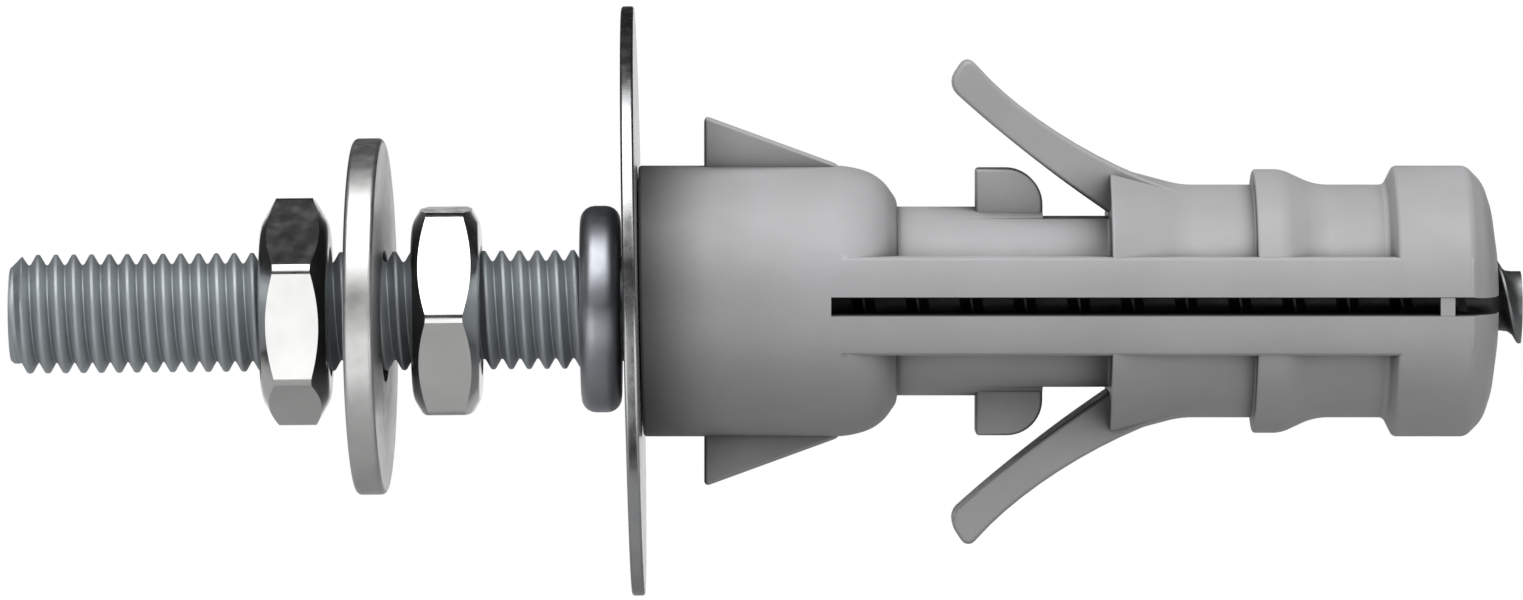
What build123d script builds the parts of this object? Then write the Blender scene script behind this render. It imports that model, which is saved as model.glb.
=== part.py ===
from build123d import *
import math
import os

# Large nylon wall plug with the hanger bolt, cover disc, washer and nuts that belong to it.
# X runs along the axis, from the free end of the stud into the wall. Z is up. Millimetres.
# The origin is on the axis in the mouth face of the plug, which lies flush with the wall.

# Hanger bolt, whose stud end hangs a little low because the bolt leans in the plug
THREAD_R = 5.0
STUD_END_CHAMFER = 1.1
STUD_FREE_LENGTH = 21.1
COLLAR_R = 8.7
COLLAR_THICKNESS = 3.4
COLLAR_EDGE = 1.0
SCREW_R = 4.9
SCREW_TAPER_LENGTH = 11.0
SCREW_TIP_R = 3.6
SCREW_TIP_PROUD = 2.2
SCREW_TIP_EDGE = 0.8
BOLT_LEAN = 0.52

# Nuts and washer on the stud, where the loose washer has swung round a little
NUT_ACROSS_FLATS = 17.0
NUT_THICKNESS = 5.8
NUT_CHAMFER_ANGLE = 30.0
NUT_FACE_R = 7.9
NUT_LEAD_IN = 0.5
INNER_NUT_TURN = 4.0
OUTER_NUT_TURN = -22.0
INNER_NUT_STANDOFF = 8.35
WASHER_R = 15.0
WASHER_HOLE_R = 5.5
WASHER_THICKNESS = 2.5
WASHER_INNER_GAP = 2.3
WASHER_OUTER_GAP = 2.1
WASHER_SWING = 2.0
HANGING_GAP = 0.05

# Cover disc, which leans by its play on the bolt
DISC_R = 24.8
DISC_HOLE_R = 5.8
DISC_THICKNESS = 1.1
DISC_LEAN = 1.1
SEAT_GAP = 0.3

# Plug: the plain front part, the neck, the expansion part and its two grooves. The front part,
# the band beside the slit and the end share one radius. The plug is rolled a little about its axis.
FRONT_R = 11.4
PLUG_ROLL = 2.5
FRONT_LENGTH = 17.2
MOUTH_EDGE = 0.4
TAPER_LENGTH = 2.5
TAPER_DROP = 0.9
SHOULDER_LENGTH = 1.4
SHOULDER_DROP = 2.0
NECK_R = 7.95
NECK_LENGTH = 17.8
ROOT_SLOPE_LENGTH = 6.0
GROOVE_R = 9.8
FIRST_GROOVE_LENGTH = 6.1
TOOTH_R = 11.1
TOOTH_LAND = 2.4
TOOTH_SLOPE_LENGTH = 2.8
SECOND_GROOVE_LENGTH = 5.8
END_RAMP_LENGTH = 0.8
END_LAND = 6.1
END_BEVEL = 1.35
END_ROLL_LENGTH = 0.65
END_ROLL_DROP = 1.9
END_FACE_CONE = 0.5

# Plug: the plain band beside the slit, the slit and the web that bridges it
BAND_HEIGHT = 4.1
SLIT_WIDTH = 1.4
SLIT_START = 15.5
WEB_LENGTH = 1.2
WEB_SETBACK = 4.1
WEB_DEPTH = 1.3
MOUTH_LEAD_IN = 0.8
SCREW_CLEARANCE = 0.05
NUT_CLEARANCE = 0.05

# How far a cutting form runs past the face that it opens
CUT_PAST = 1.0

# Plug: fins, lugs and sprung tongues, one of each above and below
FIN_START = 4.9
FIN_LENGTH = 11.5
FIN_R = 15.6
FIN_WIDTH = 2.6
FIN_TIP_ROUND = 0.5
LUG_SETBACK = 6.6
LUG_LENGTH = 5.6
LUG_R = 11.2
LUG_ROUND = 3.0
LUG_WIDTH = 5.0
TONGUE_WIDTH = 7.0
TONGUE_BACK = 11.9
TONGUE_TIP_R = 20.75
TONGUE_TIP_CUT = 1.7
TONGUE_TIP_THICKNESS = 3.1
TONGUE_OUTER_BOW = 1.9
TONGUE_INNER_BOW = 0.25
TONGUE_UNDERSIDE_R = 7.45
TONGUE_TIP_EDGE = 0.8
TONGUE_RUN_IN = 2.6
TONGUE_SINK = 1.05
TONGUE_SEAT = 7.05

# Places along the axis that follow from the sizes above
shoulder_x = FRONT_LENGTH + TAPER_LENGTH
neck_x = shoulder_x + SHOULDER_LENGTH
root_x = neck_x + NECK_LENGTH
first_groove_x = root_x + ROOT_SLOPE_LENGTH
tooth_x = first_groove_x + FIRST_GROOVE_LENGTH
second_groove_x = tooth_x + TOOTH_LAND + TOOTH_SLOPE_LENGTH
end_land_x = second_groove_x + SECOND_GROOVE_LENGTH + END_RAMP_LENGTH
end_bevel_x = end_land_x + END_LAND
end_roll_x = end_bevel_x + END_BEVEL
plug_end_x = end_roll_x + END_ROLL_LENGTH + END_FACE_CONE

disc_x = -SEAT_GAP - FRONT_R * math.sin(math.radians(DISC_LEAN)) - DISC_THICKNESS / 2
collar_x = disc_x - DISC_THICKNESS / 2 - COLLAR_R * math.sin(math.radians(DISC_LEAN)) - SEAT_GAP
collar_back_x = collar_x - COLLAR_THICKNESS
inner_nut_x = collar_back_x - INNER_NUT_STANDOFF - NUT_THICKNESS
washer_x = inner_nut_x - WASHER_INNER_GAP - WASHER_THICKNESS
outer_nut_x = washer_x - WASHER_OUTER_GAP - NUT_THICKNESS
stud_end_x = outer_nut_x - STUD_FREE_LENGTH
screw_end_x = plug_end_x + SCREW_TIP_PROUD


def turned(*points):
    """Turn a closed half section, given as points of X and radius, about the X axis."""
    section = make_face(Polyline(*points, close=True))
    return revolve(Plane.XZ * section, Axis.X, 360)


def slab(start_x, end_x, width_y, width_z):
    """A box about the axis from start_x to end_x."""
    middle = Pos((start_x + end_x) / 2, 0, 0)
    return middle * Box(end_x - start_x, width_y, width_z)


def upright(section, width):
    """A section that stands in the middle plane, given the same width to both sides."""
    return extrude(Plane.XZ * section, width / 2, both=True)


def leaned(form):
    """Lean a form with the bolt, whose axis meets the plug's axis at the plug's end."""
    return Pos(plug_end_x, 0, 0) * Rot(0, -BOLT_LEAN, 0) * Pos(-plug_end_x, 0, 0) * form


def screw_taper(grow):
    """Points where the screw starts to taper and where the plug ends, at crest radius plus grow."""
    taper_x = plug_end_x - SCREW_TAPER_LENGTH
    return (taper_x, SCREW_R + grow), (plug_end_x, SCREW_TIP_R + grow)


def toothed_body():
    """The round body with its front part, neck, teeth and grooves."""
    shoulder_r = FRONT_R - TAPER_DROP
    roll_r = FRONT_R - END_BEVEL
    return turned(
        (0, 0),
        (0, FRONT_R - MOUTH_EDGE),
        (MOUTH_EDGE, FRONT_R),
        (FRONT_LENGTH, FRONT_R),
        (shoulder_x, shoulder_r),
        (neck_x, shoulder_r - SHOULDER_DROP),
        (neck_x, NECK_R),
        (root_x, NECK_R),
        (root_x, FRONT_R),
        (first_groove_x, GROOVE_R),
        (tooth_x, GROOVE_R),
        (tooth_x, TOOTH_R),
        (tooth_x + TOOTH_LAND, TOOTH_R),
        (second_groove_x, GROOVE_R),
        (end_land_x - END_RAMP_LENGTH, GROOVE_R),
        (end_land_x, FRONT_R),
        (end_bevel_x, FRONT_R),
        (end_roll_x, roll_r),
        (end_roll_x + END_ROLL_LENGTH, roll_r - END_ROLL_DROP),
        (plug_end_x, SCREW_R),
        (plug_end_x, 0),
    )


def slit_band():
    """The plain band that runs along both sides of the slit at the full radius."""
    start_x = FRONT_LENGTH / 2
    length = end_bevel_x - start_x
    rod = Pos(start_x + length / 2, 0, 0) * Rot(0, 90, 0) * Cylinder(FRONT_R, length)
    return rod & slab(start_x, end_bevel_x, 3 * FRONT_R, 2 * BAND_HEIGHT)


def lug():
    """The stop on the neck under the tongue, square in front and rounded behind."""
    start_x = neck_x + LUG_SETBACK
    end_x = start_x + LUG_LENGTH
    outline = Polyline((start_x, 0), (start_x, LUG_R), (end_x, LUG_R), (end_x, 0), close=True)
    section = make_face(outline)
    back_corner = section.vertices().group_by(Axis.Y)[-1].sort_by(Axis.X)[-1]
    return upright(fillet(back_corner, LUG_ROUND), LUG_WIDTH)


def tongue():
    """The sprung tongue: rooted in the expansion part and flared outwards, back to the mouth."""
    tip_x = root_x - TONGUE_BACK
    tip_height = math.sqrt(TONGUE_TIP_THICKNESS**2 - TONGUE_TIP_CUT**2)
    buried = (first_groove_x + TONGUE_RUN_IN, GROOVE_R - TONGUE_SINK)
    outer_tip = (tip_x, TONGUE_TIP_R)
    inner_tip = (tip_x - TONGUE_TIP_CUT, TONGUE_TIP_R - tip_height)
    inner_root = (root_x, TONGUE_UNDERSIDE_R)
    outer = SagittaArc(buried, outer_tip, TONGUE_OUTER_BOW)
    tip = Line(outer_tip, inner_tip)
    inner = SagittaArc(inner_tip, inner_root, -TONGUE_INNER_BOW)
    root = Polyline(inner_root, (buried[0], TONGUE_UNDERSIDE_R), buried)
    section = make_face(Curve() + [outer, tip, inner, root])
    tip_corners = section.vertices().sort_by(Axis.X)[:2]
    return upright(chamfer(tip_corners, TONGUE_TIP_EDGE), TONGUE_WIDTH)


def fin():
    """The flat fin that keeps the plug from turning, highest towards the mouth."""
    end_x = FIN_START + FIN_LENGTH
    outline = Polyline((FIN_START, 0), (FIN_START, FIN_R), (end_x, FRONT_R), (end_x, 0), close=True)
    section = make_face(outline)
    peak = section.vertices().sort_by(Axis.Y)[-1]
    return upright(fillet(peak, FIN_TIP_ROUND), FIN_WIDTH)


def tongue_seat():
    """The flat on the neck, behind the lug, over which the tongue springs."""
    start_x = neck_x + LUG_SETBACK + LUG_LENGTH
    above = slab(start_x, root_x, 2 * NECK_R, NECK_R)
    return Pos(0, 0, TONGUE_SEAT + NECK_R / 2) * above


def bore():
    """The hole for the screw, with a lead-in at the mouth and the screw's taper at the end."""
    radius = SCREW_R + SCREW_CLEARANCE
    taper = screw_taper(SCREW_CLEARANCE)
    past_end = plug_end_x + CUT_PAST
    return turned(
        (-CUT_PAST, 0),
        (-CUT_PAST, radius + MOUTH_LEAD_IN + CUT_PAST),
        (MOUTH_LEAD_IN, radius),
        *taper,
        (past_end, SCREW_TIP_R + SCREW_CLEARANCE),
        (past_end, 0),
    )


def web():
    """The thin web that holds the two halves together near the end of the slit."""
    end_x = plug_end_x - WEB_SETBACK
    outer_y = math.sqrt(FRONT_R**2 - SLIT_WIDTH**2) - WEB_DEPTH / 2
    near = Pos(0, -outer_y, 0) * slab(end_x - WEB_LENGTH, end_x, WEB_DEPTH, 2 * SLIT_WIDTH)
    return near + mirror(near, Plane.XZ)


def wall_plug():
    """One nylon moulding, split from the front part to its end."""
    above = fin() + lug() + tongue()
    core = toothed_body() - tongue_seat() - mirror(tongue_seat(), Plane.XY)
    body = core + slit_band() + above + mirror(above, Plane.XY)
    slit = slab(SLIT_START, plug_end_x + CUT_PAST, 3 * FRONT_R, SLIT_WIDTH)
    moulding = Rot(PLUG_ROLL, 0, 0) * (body - slit + web())
    return moulding - leaned(bore())


def hanger_bolt():
    """Stud, round collar and screw, turned and rolled from one bar."""
    return turned(
        (stud_end_x, 0),
        (stud_end_x, THREAD_R - STUD_END_CHAMFER),
        (stud_end_x + STUD_END_CHAMFER, THREAD_R),
        (collar_back_x, THREAD_R),
        (collar_back_x, COLLAR_R - COLLAR_EDGE),
        (collar_back_x + COLLAR_EDGE, COLLAR_R),
        (collar_x - COLLAR_EDGE, COLLAR_R),
        (collar_x, COLLAR_R - COLLAR_EDGE),
        (collar_x, SCREW_R),
        *screw_taper(0),
        (screw_end_x - SCREW_TIP_EDGE, SCREW_TIP_R),
        (screw_end_x, SCREW_TIP_R - SCREW_TIP_EDGE),
        (screw_end_x, 0),
    )


def ring(start_x, thickness, outer_r, hole_r):
    """A flat round ring."""
    end_x = start_x + thickness
    return turned((start_x, hole_r), (start_x, outer_r), (end_x, outer_r), (end_x, hole_r))


def cover_disc():
    """The thin disc that covers the drilled hole, leaning between the collar and the mouth."""
    flat = ring(-DISC_THICKNESS / 2, DISC_THICKNESS, DISC_R, DISC_HOLE_R)
    return Pos(disc_x, 0, 0) * Rot(0, -DISC_LEAN, 0) * flat


def flat_washer():
    """The large flat washer, hanging on the stud by its hole and swung round by its play."""
    flat = ring(-WASHER_THICKNESS / 2, WASHER_THICKNESS, WASHER_R, WASHER_HOLE_R)
    swung = Pos(washer_x + WASHER_THICKNESS / 2, 0, 0) * Rot(0, 0, -WASHER_SWING) * flat
    drop = WASHER_HOLE_R - THREAD_R - HANGING_GAP
    return Pos(0, 0, -drop) * leaned(swung)


def hex_nut(start_x, turn):
    """A thin hexagon nut, chamfered on both sides and turned about the stud."""
    end_x = start_x + NUT_THICKNESS
    half_flats = NUT_ACROSS_FLATS / 2
    corner_r = half_flats / math.cos(math.pi / 6)
    chamfer_length = (corner_r - NUT_FACE_R) * math.tan(math.radians(NUT_CHAMFER_ANGLE))
    outline = RegularPolygon(half_flats, 6, major_radius=False, rotation=turn)
    hexagon = Pos(start_x, 0, 0) * extrude(Plane.YZ * outline, NUT_THICKNESS)
    cones = turned(
        (start_x, 0),
        (start_x, NUT_FACE_R),
        (start_x + chamfer_length, corner_r),
        (end_x - chamfer_length, corner_r),
        (end_x, NUT_FACE_R),
        (end_x, 0),
    )
    hole_r = THREAD_R + NUT_CLEARANCE
    mouth_r = hole_r + NUT_LEAD_IN + CUT_PAST
    thread_hole = turned(
        (start_x - CUT_PAST, 0),
        (start_x - CUT_PAST, mouth_r),
        (start_x + NUT_LEAD_IN, hole_r),
        (end_x - NUT_LEAD_IN, hole_r),
        (end_x + CUT_PAST, mouth_r),
        (end_x + CUT_PAST, 0),
    )
    return (hexagon & cones) - thread_hole


nodes = {
    "wall_plug": wall_plug(),
    "hanger_bolt": leaned(hanger_bolt()),
    "cover_disc": cover_disc(),
    "inner_nut": leaned(hex_nut(inner_nut_x, INNER_NUT_TURN)),
    "flat_washer": flat_washer(),
    "outer_nut": leaned(hex_nut(outer_nut_x, OUTER_NUT_TURN)),
}

os.makedirs("parts", exist_ok=True)
for name, shape in nodes.items():
    shape.label = name
    export_step(shape, f"parts/{name}.step")
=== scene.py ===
import math

import bmesh
import bpy
from mathutils import Matrix, Vector


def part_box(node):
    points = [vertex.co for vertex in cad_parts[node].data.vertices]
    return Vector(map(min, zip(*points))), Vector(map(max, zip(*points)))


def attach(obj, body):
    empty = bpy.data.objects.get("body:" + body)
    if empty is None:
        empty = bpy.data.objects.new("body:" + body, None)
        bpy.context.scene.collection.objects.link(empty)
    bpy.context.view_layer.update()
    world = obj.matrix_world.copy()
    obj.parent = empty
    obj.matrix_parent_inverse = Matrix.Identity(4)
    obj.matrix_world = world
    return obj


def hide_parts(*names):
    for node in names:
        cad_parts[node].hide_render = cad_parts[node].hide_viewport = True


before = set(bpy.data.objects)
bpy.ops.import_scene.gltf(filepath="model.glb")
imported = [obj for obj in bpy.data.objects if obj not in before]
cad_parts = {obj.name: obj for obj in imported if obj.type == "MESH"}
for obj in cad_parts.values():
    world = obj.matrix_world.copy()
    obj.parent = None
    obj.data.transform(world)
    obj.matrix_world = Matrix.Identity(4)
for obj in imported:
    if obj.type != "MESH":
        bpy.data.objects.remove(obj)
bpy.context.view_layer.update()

# Camera: level with the axis and square to it, far off and with a long lens, opposite
# the middle of the picture.
MM = 0.001
middle_x, middle_z, distance = 9.72, 0.08, 800
lens = bpy.data.cameras.new("camera")
lens.sensor_width = 36
lens.lens = 224.65
lens.clip_start = 0.01
camera = bpy.data.objects.new("camera", lens)
camera.location = (middle_x * MM, -distance * MM, middle_z * MM)
camera.rotation_euler = (math.pi / 2, 0, 0)
bpy.context.scene.collection.objects.link(camera)
bpy.context.scene.camera = camera
bpy.context.scene.view_settings.view_transform = "Standard"


# Wall plug: one injection moulding in grey nylon, split from its front part to its end.
# Fins keep it from turning, two tongues spring out behind the wall's face, and the teeth
# are pressed outwards by the screw.
def corner_line(corners, closed):
    """Wire through corners of (x, height, rounding) in mm, each rounded by its own amount.
    Roundings under 2 mm get 5 steps and larger ones 12."""
    form = bmesh.new()
    points = [form.verts.new((x * MM, 0, height * MM)) for x, height, _ in corners]
    ends = points[1:] + points[:1] if closed else points[1:]
    for start, end in zip(points, ends):
        form.edges.new((start, end))
    for point, (_, _, rounding) in zip(points, corners):
        if rounding:
            bmesh.ops.bevel(form, geom=[point], affect="VERTICES", offset=rounding * MM,
                            segments=5 if rounding < 2 else 12, profile=0.5, material=-1)
    return form


def as_piece(name, form):
    """An object at the origin with the form as its mesh."""
    bmesh.ops.recalc_face_normals(form, faces=form.faces)
    mesh = bpy.data.meshes.new(name)
    form.to_mesh(mesh)
    form.free()
    piece = bpy.data.objects.new(name, mesh)
    bpy.context.scene.collection.objects.link(piece)
    return piece


def whole(form):
    """All points, edges and faces of a form."""
    return form.verts[:] + form.edges[:] + form.faces[:]


def points_of(made):
    """The points among what an operator made."""
    return [part for part in made["geom"] if isinstance(part, bmesh.types.BMVert)]


def runs_along(edge):
    """Whether an edge runs along the axis."""
    return abs(edge.verts[0].co.x - edge.verts[1].co.x) > MM


def turned(name, corners, steps=128, hollow=False):
    """A form turned about the axis. Its half section is solid from the axis, or hollow,
    a closed loop off the axis."""
    form = corner_line(corners, hollow)
    bmesh.ops.spin(form, geom=whole(form), cent=(0, 0, 0), axis=(1, 0, 0), dvec=(0, 0, 0),
                   angle=2 * math.pi, steps=steps, use_merge=True)
    bmesh.ops.remove_doubles(form, verts=form.verts, dist=1e-7)
    return as_piece(name, form)


def upright(name, corners, width, edge):
    """A flat form that stands in the middle plane, with its rim edges rounded."""
    form = corner_line(corners, True)
    bmesh.ops.edgeloop_fill(form, edges=form.edges)
    bmesh.ops.translate(form, verts=form.verts, vec=(0, -width / 2 * MM, 0))
    side = bmesh.ops.extrude_face_region(form, geom=form.faces[:])
    bmesh.ops.translate(form, verts=points_of(side), vec=(0, width * MM, 0))
    bmesh.ops.recalc_face_normals(form, faces=form.faces)
    if edge:
        rim = [e for e in form.edges if len({round(v.co.y, 6) for v in e.verts}) == 1]
        bmesh.ops.bevel(form, geom=rim, affect="EDGES", offset=edge * MM, segments=3,
                        profile=0.5, material=-1)
    return as_piece(name, form)


def box(name, low, high):
    """A plain block between two corners in mm, used to cut or to fill."""
    form = bmesh.new()
    bmesh.ops.create_cube(form, size=1)
    bmesh.ops.scale(form, verts=form.verts, vec=(Vector(high) - Vector(low)) * MM)
    bmesh.ops.translate(form, verts=form.verts, vec=(Vector(high) + Vector(low)) / 2 * MM)
    return as_piece(name, form)


def mirrored(piece):
    """The same form below the axis."""
    form = bmesh.new()
    form.from_mesh(piece.data)
    bmesh.ops.scale(form, verts=form.verts, vec=(1, 1, -1))
    return as_piece(piece.name + "_below", form)


def combine(piece, other, operation):
    """Welds another form to a piece or cuts it out, and keeps the result alone."""
    change = piece.modifiers.new("combine", "BOOLEAN")
    change.operation = operation
    change.solver = "MANIFOLD"
    change.object = other
    bpy.context.view_layer.update()
    combined = piece.evaluated_get(bpy.context.evaluated_depsgraph_get())
    mesh = bpy.data.meshes.new_from_object(combined)
    piece.modifiers.clear()
    piece.data = mesh
    bpy.data.objects.remove(other)


def tilted(x, degrees, rise=0):
    """A lean in the upright plane about a place on the axis, and a rise, both places in mm."""
    return (Matrix.Translation((x * MM, 0, rise * MM))
            @ Matrix.Rotation(math.radians(degrees), 4, "Y") @ Matrix.Translation((-x * MM, 0, 0)))


plug_end = 71.4
plug = turned("plug", [
    # front part and its shoulder
    (-0.42, 0, 0), (-0.42, 11.4, 0.3), (17.2, 11.4, 1.2), (19.7, 10.5, 1.1), (21.1, 8.5, 0.4),
    # neck
    (21.1, 7.95, 0.1), (38.9, 7.95, 0.3),
    # three teeth with a groove behind each of the first two
    (38.9, 11.4, 0.25), (44.9, 9.8, 0.9), (51.0, 9.8, 0.2),
    (51.0, 11.1, 0.25), (53.4, 11.1, 0.6), (56.2, 9.8, 1.0), (62.0, 9.8, 0.35),
    (62.8, 11.4, 0.3), (68.9, 11.4, 0.4),
    # blunt end
    (70.25, 10.05, 0.6), (70.9, 8.15, 0.4), (plug_end, 4.9, 0), (plug_end, 0, 0)])

# A flat on the neck, above and below, leaves room under each tongue.
tongue_flat = box("tongue_flat", (33.3, -9, 7.05), (38.9, 9, 16))
combine(plug, mirrored(tongue_flat), "DIFFERENCE")
combine(plug, tongue_flat, "DIFFERENCE")

# The bands beside the slit: a disc with its top and bottom cut off, drawn out along the axis.
across = Matrix.Rotation(math.pi / 2, 3, "Y")
band_radius, band_half_height, band_start, band_length = 11.385, 4.1, 8.6, 60.3
band_form = bmesh.new()
bmesh.ops.create_circle(band_form, cap_ends=True, radius=band_radius * MM, segments=128)
bmesh.ops.rotate(band_form, verts=band_form.verts, cent=(0, 0, 0), matrix=across)
for side in (1, -1):
    bmesh.ops.bisect_plane(band_form, geom=whole(band_form), clear_outer=True,
                           plane_co=(0, 0, side * band_half_height * MM), plane_no=(0, 0, side))
bmesh.ops.translate(band_form, verts=band_form.verts, vec=(band_start * MM, 0, 0))
far_end = bmesh.ops.extrude_face_region(band_form, geom=band_form.faces[:])
bmesh.ops.translate(band_form, verts=points_of(far_end), vec=(band_length * MM, 0, 0))
shoulders = [e for e in band_form.edges if runs_along(e)
             and all(abs(abs(v.co.z) - band_half_height * MM) < 1e-6 for v in e.verts)]
bmesh.ops.bevel(band_form, geom=shoulders, affect="EDGES", offset=0.45 * MM, segments=4,
                profile=0.5, material=-1)
combine(plug, as_piece("band", band_form), "UNION")

fin_width, lug_width, tongue_width = 2.6, 5.0, 7.0
fin = upright("fin", [(4.9, 0, 0), (4.9, 15.6, 0.5), (16.4, 11.4, 0.6), (16.4, 0, 0)], fin_width, 0.3)
lug = upright("lug", [
    (27.7, 0, 0), (27.7, 11.2, 0.3), (33.3, 11.2, 3.0), (33.3, 0, 0)], lug_width, 0.3)
tongue = upright("tongue", [
    (27.0, 20.75, 1.0), (35.28, 11.38, 11.2), (47.5, 8.75, 0), (47.5, 7.45, 0), (38.9, 7.45, 0.4),
    (31.8, 12.4, 6.0), (25.3, 18.16, 1.2)], tongue_width, 0.35)
for part in (fin, lug, tongue):
    combine(plug, mirrored(part), "UNION")
    combine(plug, part, "UNION")

# The slit widens near the outside. Its form is drawn across the plug and then laid along it.
slit_middle, slit_length = 44, 57
slit = upright("slit", [
    (-13, 1.45, 0), (-11.2, 0.7, 0.5), (11.2, 0.7, 0.5), (13, 1.45, 0),
    (13, -1.45, 0), (11.2, -0.7, 0.5), (-11.2, -0.7, 0.5), (-13, -1.45, 0)], slit_length, 0)
slit.data.transform(Matrix.Translation((slit_middle * MM, 0, 0))
                    @ Matrix.Rotation(math.pi / 2, 4, "Z"))
combine(plug, slit, "DIFFERENCE")

# A thin web on each side bridges the slit until the screw tears it.
web_place, web_half_width = 10.65, 0.65
for side in (-1, 1):
    combine(plug, box("web", (66.1, side * web_place - web_half_width, -1.4),
                      (67.3, side * web_place + web_half_width, 1.4)), "UNION")

plug_roll, bolt_lean_degrees, disc_lean = 2.5, -0.52, 1.1
plug.data.transform(Matrix.Rotation(math.radians(plug_roll), 4, "X"))
bolt_lean = tilted(plug_end, bolt_lean_degrees)
screw_hole = turned("screw_hole", [
    (-1, 0, 0), (-1, 6.75, 0), (0.8, 4.95, 0), (60.4, 4.95, 0), (plug_end, 3.65, 0),
    (plug_end + 1, 3.65, 0), (plug_end + 1, 0, 0)], 64)
screw_hole.data.transform(bolt_lean)
combine(plug, screw_hole, "DIFFERENCE")

# The mouth follows the cover disc, which leans.
disc_slope = math.tan(math.radians(disc_lean))
for point in plug.data.vertices:
    if point.co.x < 0:
        point.co.x -= disc_slope * point.co.z


def new_finish(name, metallic):
    """A procedural finish: its node tree, its shader and the piece's own coordinates."""
    finish = bpy.data.materials.new(name)
    finish.use_nodes = True
    shader = finish.node_tree.nodes["Principled BSDF"]
    shader.inputs["Metallic"].default_value = metallic
    place = finish.node_tree.nodes.new("ShaderNodeTexCoord").outputs["Object"]
    return finish, finish.node_tree, shader, place


def clouds(tree, place, scale, detail=3.0, stretch=(1, 1, 1)):
    """Noise of about one cloud per 1/scale metres, stretched along the axes."""
    mapping = tree.nodes.new("ShaderNodeMapping")
    mapping.inputs["Scale"].default_value = stretch
    noise = tree.nodes.new("ShaderNodeTexNoise")
    noise.inputs["Scale"].default_value = scale
    noise.inputs["Detail"].default_value = detail
    tree.links.new(place, mapping.inputs["Vector"])
    tree.links.new(mapping.outputs["Vector"], noise.inputs["Vector"])
    return noise.outputs["Fac"]


thinnest, thickest = 0.3, 0.7  # nearly all values of such clouds lie between these


def shades(tree, value, first, second, start=thinnest, end=thickest):
    """Turns a pattern into colours, from the first at start to the second at end."""
    ramp = tree.nodes.new("ShaderNodeValToRGB")
    for stop, position, colour in zip(ramp.color_ramp.elements, (start, end), (first, second)):
        stop.position = position
        stop.color = (*colour, 1)
    tree.links.new(value, ramp.inputs["Fac"])
    return ramp.outputs["Color"]


def levels(tree, value, low, high):
    """Turns a pattern into numbers between low and high."""
    spread = tree.nodes.new("ShaderNodeMapRange")
    spread.inputs["From Min"].default_value = thinnest
    spread.inputs["From Max"].default_value = thickest
    spread.inputs["To Min"].default_value = low
    spread.inputs["To Max"].default_value = high
    tree.links.new(value, spread.inputs["Value"])
    return spread.outputs["Result"]


def coat(tree, shader, colour, gloss):
    """Gives the shader its pattern of colour and of roughness."""
    tree.links.new(colour, shader.inputs["Base Color"])
    tree.links.new(gloss, shader.inputs["Roughness"])


def mixer(tree, kind):
    """A Mix node for colours or for numbers, with the two inputs and the output of that kind."""
    mix = tree.nodes.new("ShaderNodeMix")
    mix.data_type = kind
    first, second, result = {"RGBA": (6, 7, 2), "FLOAT": (2, 3, 0)}[kind]
    return mix, mix.inputs[first], mix.inputs[second], mix.outputs[result]


def painted_crevice_shade(tree, colour, reach, darkest):
    """Painted shade: darkens a colour where other surfaces stand within reach, in mm, down to a share
    of it, as shade falling into corners, hollows and the gaps between parts.
    """
    corners = tree.nodes.new("ShaderNodeAmbientOcclusion")
    corners.inputs["Distance"].default_value = reach * MM
    mix, unshaded, painted_shade, result = mixer(tree, "RGBA")
    mix.blend_type = "MULTIPLY"
    mix.inputs["Factor"].default_value = 1
    tree.links.new(colour, unshaded)
    hidden, open_to_light = 0.52, 0.89
    shadow = shades(tree, corners.outputs["AO"], (darkest,) * 3, (1, 1, 1), hidden, open_to_light)
    tree.links.new(shadow, painted_shade)
    return result


def relief(tree, shader, height, depth, below=None):
    """Raises the surface by a pattern, depth in mm, over any relief that is already there."""
    bump = tree.nodes.new("ShaderNodeBump")
    bump.inputs["Strength"].default_value = 1
    bump.inputs["Distance"].default_value = depth * MM
    tree.links.new(height, bump.inputs["Height"])
    if below:
        tree.links.new(below, bump.inputs["Normal"])
    tree.links.new(bump.outputs["Normal"], shader.inputs["Normal"])
    return bump.outputs["Normal"]


def dress(piece, node, finish):
    """Smooths a finished piece up to its edges, gives it its finish and puts it in its node's
    place."""
    sharp = math.radians(32)
    piece.data.materials.clear()
    piece.data.materials.append(finish)
    piece.data.polygons.foreach_set("use_smooth", [True] * len(piece.data.polygons))
    piece.data.set_sharp_from_angle(angle=sharp)
    even = piece.modifiers.new("even shading", "WEIGHTED_NORMAL")
    even.keep_sharp = True
    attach(piece, node)
    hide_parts(node)


nylon, tree, shader, place = new_finish("moulded grey nylon", 0)
tone = shades(tree, clouds(tree, place, 90, 4), (0.44, 0.44, 0.445), (0.50, 0.495, 0.51))
# Painted shade: the grey darkens down to 0.18 of itself near the cover disc and in the plug's
# hollows, as the disc's cast shadow and shade in the recesses.
coat(tree, shader, painted_crevice_shade(tree, tone, reach=9, darkest=0.18),
     levels(tree, clouds(tree, place, 420, 5), 0.44, 0.56))
swells = relief(tree, shader, clouds(tree, place, 260, 2), 0.05)
relief(tree, shader, clouds(tree, place, 2400, 3), 0.012, swells)
shader.inputs["IOR"].default_value = 1.53
dress(plug, "wall_plug", nylon)


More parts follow.
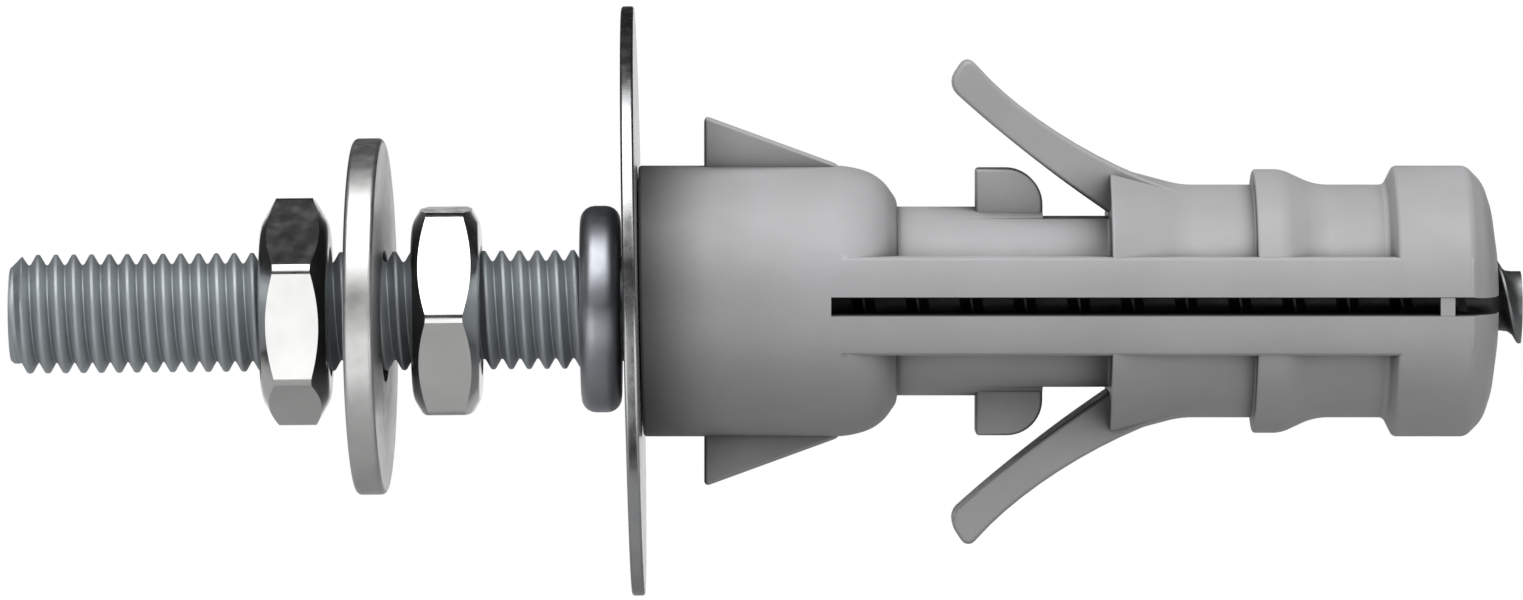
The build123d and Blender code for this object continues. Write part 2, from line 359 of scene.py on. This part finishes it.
# Cover disc: a thin stamped steel disc, zinc plated, which hides the edge of the drilled hole.
# It is loose on the bolt between the collar and the plug's mouth, and leans by its play.
disc_radius, disc_hole, disc_half = 24.8, 5.8, 0.55
disc = turned("disc", [
    (-disc_half, disc_hole, 0.1), (-disc_half, disc_radius, 0.25),
    (disc_half, disc_radius, 0.25), (disc_half, disc_hole, 0.1)], 192, True)
disc_low, disc_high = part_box("cover_disc")
disc.data.transform(Matrix.Translation((disc_low + disc_high) / 2)
                    @ Matrix.Rotation(math.radians(-disc_lean), 4, "Y"))
stamped, tree, shader, place = new_finish("stamped zinc plated sheet", 1)
coat(tree, shader, shades(tree, clouds(tree, place, 150, 4), (0.40, 0.41, 0.42), (0.50, 0.50, 0.50)),
     levels(tree, clouds(tree, place, 700, 4), 0.20, 0.32))
relief(tree, shader, clouds(tree, place, 500, 4), 0.006)
dress(disc, "cover_disc", stamped)


# Hanger bolt: one bar of steel with a rolled M10 thread on the stud, a turned collar that
# stops it at the disc, and a coarse wood thread that is driven into the plug. Zinc plated.
def threaded(name, start, end, pitch, profile, crest, root):
    """A threaded rod from start to end. The profile is (share of pitch, share of depth), and
    crest and root give the two radii in mm at a place along the axis. The thread is spun with
    its crests at 2 mm and its roots at 1 mm, and then each point moves to its own radius."""
    steps = 64
    form = bmesh.new()
    first = start - 2 * pitch
    points = [form.verts.new(((first + share * pitch) * MM, 0, (2 - depth) * MM))
              for share, depth in profile]
    for a, b in zip(points, points[1:]):
        form.edges.new((a, b))
    bmesh.ops.spin(form, geom=whole(form), cent=(0, 0, 0), axis=(1, 0, 0),
                   dvec=(pitch * MM / steps, 0, 0), angle=2 * math.pi, steps=steps)
    first_turn = whole(form)
    for turn in range(1, math.ceil((end - start) / pitch) + 4):
        next_turn = bmesh.ops.duplicate(form, geom=first_turn)
        bmesh.ops.translate(form, verts=points_of(next_turn), vec=(turn * pitch * MM, 0, 0))
    bmesh.ops.remove_doubles(form, verts=form.verts, dist=2e-6)
    for point in form.verts:
        radius = math.hypot(point.co.y, point.co.z)
        x = min(max(point.co.x / MM, start), end)
        outer, inner = crest(x), root(x)
        wanted = inner + (outer - inner) * (radius / MM - 1)
        point.co.y *= wanted * MM / radius
        point.co.z *= wanted * MM / radius
    for x, side in ((start, -1), (end, 1)):
        cut = bmesh.ops.bisect_plane(form, geom=whole(form), clear_outer=True,
                                     plane_co=(x * MM, 0, 0), plane_no=(side, 0, 0))
        rim = [e for e in cut["geom_cut"] if isinstance(e, bmesh.types.BMEdge)]
        bmesh.ops.edgeloop_fill(form, edges=rim)
    return as_piece(name, form)


stud_end, collar_back, collar_front, tip_end = -53.436, -5.486, -2.086, 73.6
collar_radius, collar_rounding = 8.7, 1.25
bolt = turned("bolt", [
    (collar_back, 0, 0), (collar_back, collar_radius, collar_rounding),
    (collar_front, collar_radius, collar_rounding), (collar_front, 0, 0)], 128)


def stud_crest(x):
    """The stud's outer radius, with a chamfer at its free end."""
    return min(5.0, 3.9 + x - stud_end)


def stud_root(x):
    """The stud's radius between its ridges, with the same chamfer."""
    return min(4.12, 3.9 + x - stud_end)


stud = threaded("stud", stud_end, collar_back + 1, 1.5, [
    (0, 1), (0.06, 1), (0.14, 0.9), (0.42, 0.06), (0.48, 0), (0.60, 0), (0.66, 0.06), (0.94, 0.9),
    (1, 1)], stud_crest, stud_root)
combine(bolt, stud, "UNION")

shank_radius, shank_end = 4.4, 6
screw_radius, tip_radius = 4.9, 3.6
taper_start, taper_drop, taper_length = 60.4, 1.3, 11
root_radius, tip_root, root_taper_start = 3.4, 2.5, 58


def screw_crest(x):
    """The coarse thread's outer radius, which grows out of the shank and tapers to the tip."""
    if x < shank_end:
        return shank_radius
    tapered = screw_radius - (x - taper_start) * taper_drop / taper_length
    return max(tip_radius, min(screw_radius, shank_radius + (x - shank_end) / 6, tapered))


def screw_root(x):
    """The coarse thread's radius between its ridges, which shrinks towards the tip."""
    if x < shank_end:
        return shank_radius
    if x < root_taper_start:
        return max(root_radius, shank_radius - (x - shank_end) / 3)
    return max(tip_root, root_radius - (x - root_taper_start) * 0.07)


screw = threaded("screw", collar_front - 1, tip_end, 4.5, [
    (0, 1), (0.16, 1), (0.30, 0.92), (0.40, 0.6), (0.47, 0.06), (0.49, 0), (0.53, 0), (0.55, 0.06),
    (0.62, 0.6), (0.72, 0.92), (0.86, 1), (1, 1)], screw_crest, screw_root)

# The tip is cut off aslant, as the shears left it.
cut_start, cut_rise, cut_slant = 72.4, 4.4, -38
sheared = box("sheared", (cut_start, -5, -5), (77, 5, 5))
sheared.data.transform(tilted(cut_start, cut_slant, cut_rise))
combine(screw, sheared, "DIFFERENCE")
combine(bolt, screw, "UNION")
bolt.data.transform(bolt_lean)


def past(tree, place, x):
    """0 before a place along the axis, in mm, and 1 past it."""
    soft = 0.15
    parts = tree.nodes.new("ShaderNodeSeparateXYZ")
    step = tree.nodes.new("ShaderNodeMapRange")
    step.inputs["From Min"].default_value = (x - soft) * MM
    step.inputs["From Max"].default_value = (x + soft) * MM
    tree.links.new(place, parts.inputs["Vector"])
    tree.links.new(parts.outputs["X"], step.inputs["Value"])
    return step.outputs["Result"]


def joined(tree, kind, share, before, after):
    """A colour or number that changes from one pattern to another with a share."""
    mix, first, second, result = mixer(tree, kind)
    tree.links.new(share, mix.inputs["Factor"])
    tree.links.new(before, first)
    tree.links.new(after, second)
    return result


zinc, tree, shader, place = new_finish("bluish zinc plating", 1)
plated = clouds(tree, place, 120, 4)
fine = clouds(tree, place, 900, 4)
at_collar, at_screw = past(tree, place, collar_back), past(tree, place, collar_front)
thread_tone = shades(tree, plated, (0.44, 0.475, 0.495), (0.55, 0.59, 0.615))
collar_tone = shades(tree, plated, (0.33, 0.345, 0.375), (0.42, 0.435, 0.47))
# Painted shade: the wood screw's colour is far darker than the same plating on the stud. It stands in
# for the shade inside the plug and at the screw's tip.
screw_painted_shade_tone = shades(tree, plated, (0.20, 0.205, 0.21), (0.28, 0.285, 0.29))
thread_gloss = levels(tree, fine, 0.58, 0.68)
collar_gloss = levels(tree, fine, 0.36, 0.44)
screw_gloss = levels(tree, fine, 0.40, 0.55)
tone = joined(tree, "RGBA", at_screw, joined(tree, "RGBA", at_collar, thread_tone, collar_tone),
              screw_painted_shade_tone)
gloss = joined(tree, "FLOAT", at_screw, joined(tree, "FLOAT", at_collar, thread_gloss, collar_gloss),
               screw_gloss)
# Painted shade: the plating darkens a little where the nuts, washer, disc and plug stand close to the
# bolt.
coat(tree, shader, painted_crevice_shade(tree, tone, reach=2.5, darkest=0.7), gloss)
relief(tree, shader, clouds(tree, place, 900, 3, (3, 1, 1)), 0.006)
dress(bolt, "hanger_bolt", zinc)


# Inner nut: a thin hexagon nut of cold-formed steel, zinc plated, chamfered on both sides.
# It sets how far the bracket stands off the wall.
nut_flats, nut_corner_radius, nut_face_radius, nut_thickness = 17, 9.815, 7.3, 5.8
nut_chamfer = (nut_corner_radius - nut_face_radius) * math.tan(math.radians(30))
nut_hole, lead_in_radius = 5.05, 6.55


def hex_nut(name, start, turn):
    """A hexagon nut from start along the axis, turned by some degrees, with a lead-in at both
    ends of its hole. Two cones cut its chamfers."""
    form = bmesh.new()
    bmesh.ops.create_circle(form, cap_ends=True, radius=nut_flats / math.sqrt(3) * MM, segments=6)
    bmesh.ops.rotate(form, verts=form.verts, cent=(0, 0, 0), matrix=across)
    bmesh.ops.translate(form, verts=form.verts, vec=(start * MM, 0, 0))
    far = bmesh.ops.extrude_face_region(form, geom=form.faces[:])
    bmesh.ops.translate(form, verts=points_of(far), vec=(nut_thickness * MM, 0, 0))
    bmesh.ops.recalc_face_normals(form, faces=form.faces)
    corners = [e for e in form.edges if runs_along(e)]
    bmesh.ops.bevel(form, geom=corners, affect="EDGES", offset=0.6 * MM, segments=4,
                    profile=0.5, material=-1)
    bmesh.ops.rotate(form, verts=form.verts, cent=(0, 0, 0),
                     matrix=Matrix.Rotation(math.radians(turn), 3, "X"))
    nut = as_piece(name, form)
    end = start + nut_thickness
    cones = turned("cones", [
        (start, 0, 0), (start, nut_face_radius, 0.5), (start + nut_chamfer, nut_corner_radius, 0),
        (end - nut_chamfer, nut_corner_radius, 0), (end, nut_face_radius, 0.5), (end, 0, 0)])
    combine(nut, cones, "INTERSECT")
    hole = turned("hole", [
        (start - 1, 0, 0), (start - 1, lead_in_radius, 0), (start + 0.5, nut_hole, 0),
        (end - 0.5, nut_hole, 0), (end + 1, lead_in_radius, 0), (end + 1, 0, 0)], 96)
    combine(nut, hole, "DIFFERENCE")
    nut.data.transform(bolt_lean)
    return nut


bright, tree, shader, place = new_finish("bright zinc plating", 1)
tone = shades(tree, clouds(tree, place, 200, 4), (0.67, 0.67, 0.66), (0.75, 0.75, 0.74))
# Painted shade: the plating darkens where the nut stands close to the washer and the bolt.
coat(tree, shader, painted_crevice_shade(tree, tone, reach=4, darkest=0.65),
     levels(tree, clouds(tree, place, 800, 4), 0.16, 0.25))
relief(tree, shader, clouds(tree, place, 260, 2), 0.008)
inner_nut = hex_nut("inner_nut_piece", start=-19.636, turn=4)
dress(inner_nut, "inner_nut", bright)


# Flat washer: a large stamped washer, zinc plated, which hangs loose on the stud between
# the nuts and presses the bracket against the inner nut.
washer_centre, washer_drop, washer_swing = -23.186, 0.45, -2.0
washer_radius, washer_hole, washer_half = 15, 5.5, 1.25
washer = turned("washer", [
    (-washer_half, washer_hole, 0.15), (-washer_half, washer_radius, 0.45),
    (washer_half, washer_radius, 0.45), (washer_half, washer_hole, 0.15)], 160, True)
washer.data.transform(Matrix.Translation((0, 0, -washer_drop * MM)) @ bolt_lean
                      @ Matrix.Translation((washer_centre * MM, 0, 0))
                      @ Matrix.Rotation(math.radians(washer_swing), 4, "Z"))
satin, tree, shader, place = new_finish("satin zinc plating", 1)
tone = shades(tree, clouds(tree, place, 160, 4), (0.60, 0.60, 0.595), (0.72, 0.72, 0.71))
# Painted shade: the plating darkens down to 0.35 of itself near the nuts and the bolt.
coat(tree, shader, painted_crevice_shade(tree, tone, reach=9, darkest=0.35),
     levels(tree, clouds(tree, place, 900, 4), 0.36, 0.46))
relief(tree, shader, clouds(tree, place, 600, 4), 0.008)
dress(washer, "flat_washer", satin)


# Outer nut: the same kind of thin hexagon nut. It is screwed up to the washer and clamps
# the bracket between the washer and the inner nut.
outer_nut = hex_nut("outer_nut_piece", start=-32.336, turn=-22)
dress(outer_nut, "outer_nut", bright)


# Studio: a pale floor below the piece and a large soft lamp above and in front of it. Cards
# that only the metal reflects give it its contrast: dark, grey and white ones around the
# piece, and two narrow dark flags for the edge of the cover disc.
def sheet(name, centre, width, length, tilt=0, about="X"):
    """A flat rectangle about its centre, tilted about the direction of X or Y by some degrees."""
    form = bmesh.new()
    bmesh.ops.create_grid(form, x_segments=1, y_segments=1, size=0.5)
    bmesh.ops.scale(form, verts=form.verts, vec=(width, length, 1))
    mesh = bpy.data.meshes.new(name)
    form.to_mesh(mesh)
    form.free()
    mesh.transform(Matrix.Translation(centre) @ Matrix.Rotation(math.radians(tilt), 4, about))
    piece = bpy.data.objects.new(name, mesh)
    bpy.context.scene.collection.objects.link(piece)
    return piece


def plain(name, grey):
    """A plain matt paper: the material, its node tree and its shader."""
    paper = bpy.data.materials.new(name)
    paper.use_nodes = True
    shader = paper.node_tree.nodes["Principled BSDF"]
    shader.inputs["Base Color"].default_value = (grey, grey, grey, 1)
    shader.inputs["Roughness"].default_value = 0.9
    return paper, paper.node_tree, shader


def seen_directly(tree):
    """1 for rays that show the background: from the camera, off gloss and through clear things."""
    rays = tree.nodes.new("ShaderNodeLightPath")
    total = rays.outputs["Is Camera Ray"]
    for other in ("Is Glossy Ray", "Is Transmission Ray"):
        either = tree.nodes.new("ShaderNodeMath")
        either.operation = "MAXIMUM"
        tree.links.new(total, either.inputs[0])
        tree.links.new(rays.outputs[other], either.inputs[1])
        total = either.outputs[0]
    return total


# The floor keeps the piece's shadow, and fades to the white of the background around it.
fade_start, fade_end = 0.05, 0.26
floor = sheet("floor", (0, 0, -0.034), 8, 8)
paper, tree, shader = plain("pale paper", 0.44)
shader.inputs["Specular IOR Level"].default_value = 0
place = tree.nodes.new("ShaderNodeTexCoord").outputs["Object"]
away = tree.nodes.new("ShaderNodeVectorMath")
away.operation = "LENGTH"
tree.links.new(place, away.inputs[0])
fade = tree.nodes.new("ShaderNodeMapRange")
fade.interpolation_type = "SMOOTHSTEP"
fade.inputs["From Min"].default_value = fade_start
fade.inputs["From Max"].default_value = fade_end
tree.links.new(away.outputs["Value"], fade.inputs["Value"])
white = tree.nodes.new("ShaderNodeMath")
white.operation = "MULTIPLY"
tree.links.new(fade.outputs["Result"], white.inputs[0])
tree.links.new(seen_directly(tree), white.inputs[1])
glow = tree.nodes.new("ShaderNodeEmission")
blend = tree.nodes.new("ShaderNodeMixShader")
tree.links.new(white.outputs[0], blend.inputs["Fac"])
tree.links.new(shader.outputs["BSDF"], blend.inputs[1])
tree.links.new(glow.outputs["Emission"], blend.inputs[2])
tree.links.new(blend.outputs["Shader"], tree.nodes["Material Output"].inputs["Surface"])
floor.data.materials.append(paper)

dark = plain("dark card", 0.03)[0]
grey = plain("grey card", 0.50)[0]
# The white card glows with its own light and is no lamp. Only reflections show it, as a painted
# reflection of bright surroundings in front of the piece.
glowing_card, _, shader = plain("white card", 0)
shader.inputs["Roughness"].default_value = 0.5
shader.inputs["Emission Color"].default_value = (1, 1, 1, 1)
shader.inputs["Emission Strength"].default_value = 1.35
for name, material, centre, width, length, tilt, about in (
        ("card_overhead", dark, (0, 0.40, 0.35), 2.0, 0.98, -24, "X"),
        ("card_camera", dark, (0, -0.25, 0.038), 2.0, 0.135, 90, "X"),
        ("card_left", dark, (-0.13, 0.11, 0.12), 0.31, 0.48, 90, "Y"),
        ("card_right", dark, (0.26, 0.12, 0.10), 0.8, 0.60, 90, "Y"),
        ("card_below", grey, (0.02, 0.07, -0.0335), 0.50, 0.196, 0, "X"),
        ("card_front", glowing_card, (0, -0.19, -0.0335), 0.60, 0.30, 0, "X"),
        ("flag_front", dark, (0.001, -0.075, 0.008), 0.011, 0.082, 90, "X"),
        ("flag_floor", dark, (0.001, -0.053, -0.033), 0.011, 0.05, 0, "X")):
    card = sheet(name, centre, width, length, tilt, about)
    card.data.materials.append(material)
    card.visible_camera = False
    card.visible_shadow = False
    card.visible_diffuse = False

light = bpy.data.lights.new("lamp_above", "AREA")
light.shape = "RECTANGLE"
light.size, light.size_y = 1.3, 0.9
light.energy = 8.8
lamp = bpy.data.objects.new("lamp_above", light)
lamp.location = (-0.16, -0.50, 0.88)
lamp.rotation_euler = lamp.location.to_track_quat("Z", "Y").to_euler()
bpy.context.scene.collection.objects.link(lamp)

# The background is white where it is seen, and lights the piece with less than that.
light_on_piece = 0.42
world = bpy.data.worlds.new("studio")
bpy.context.scene.world = world
world.use_nodes = True
tree = world.node_tree
strength = tree.nodes.new("ShaderNodeMapRange")
strength.inputs["To Min"].default_value = light_on_piece
strength.inputs["To Max"].default_value = 1
tree.links.new(seen_directly(tree), strength.inputs["Value"])
tree.nodes["Background"].inputs["Color"].default_value = (1, 1, 1, 1)
tree.links.new(strength.outputs["Result"], tree.nodes["Background"].inputs["Strength"])
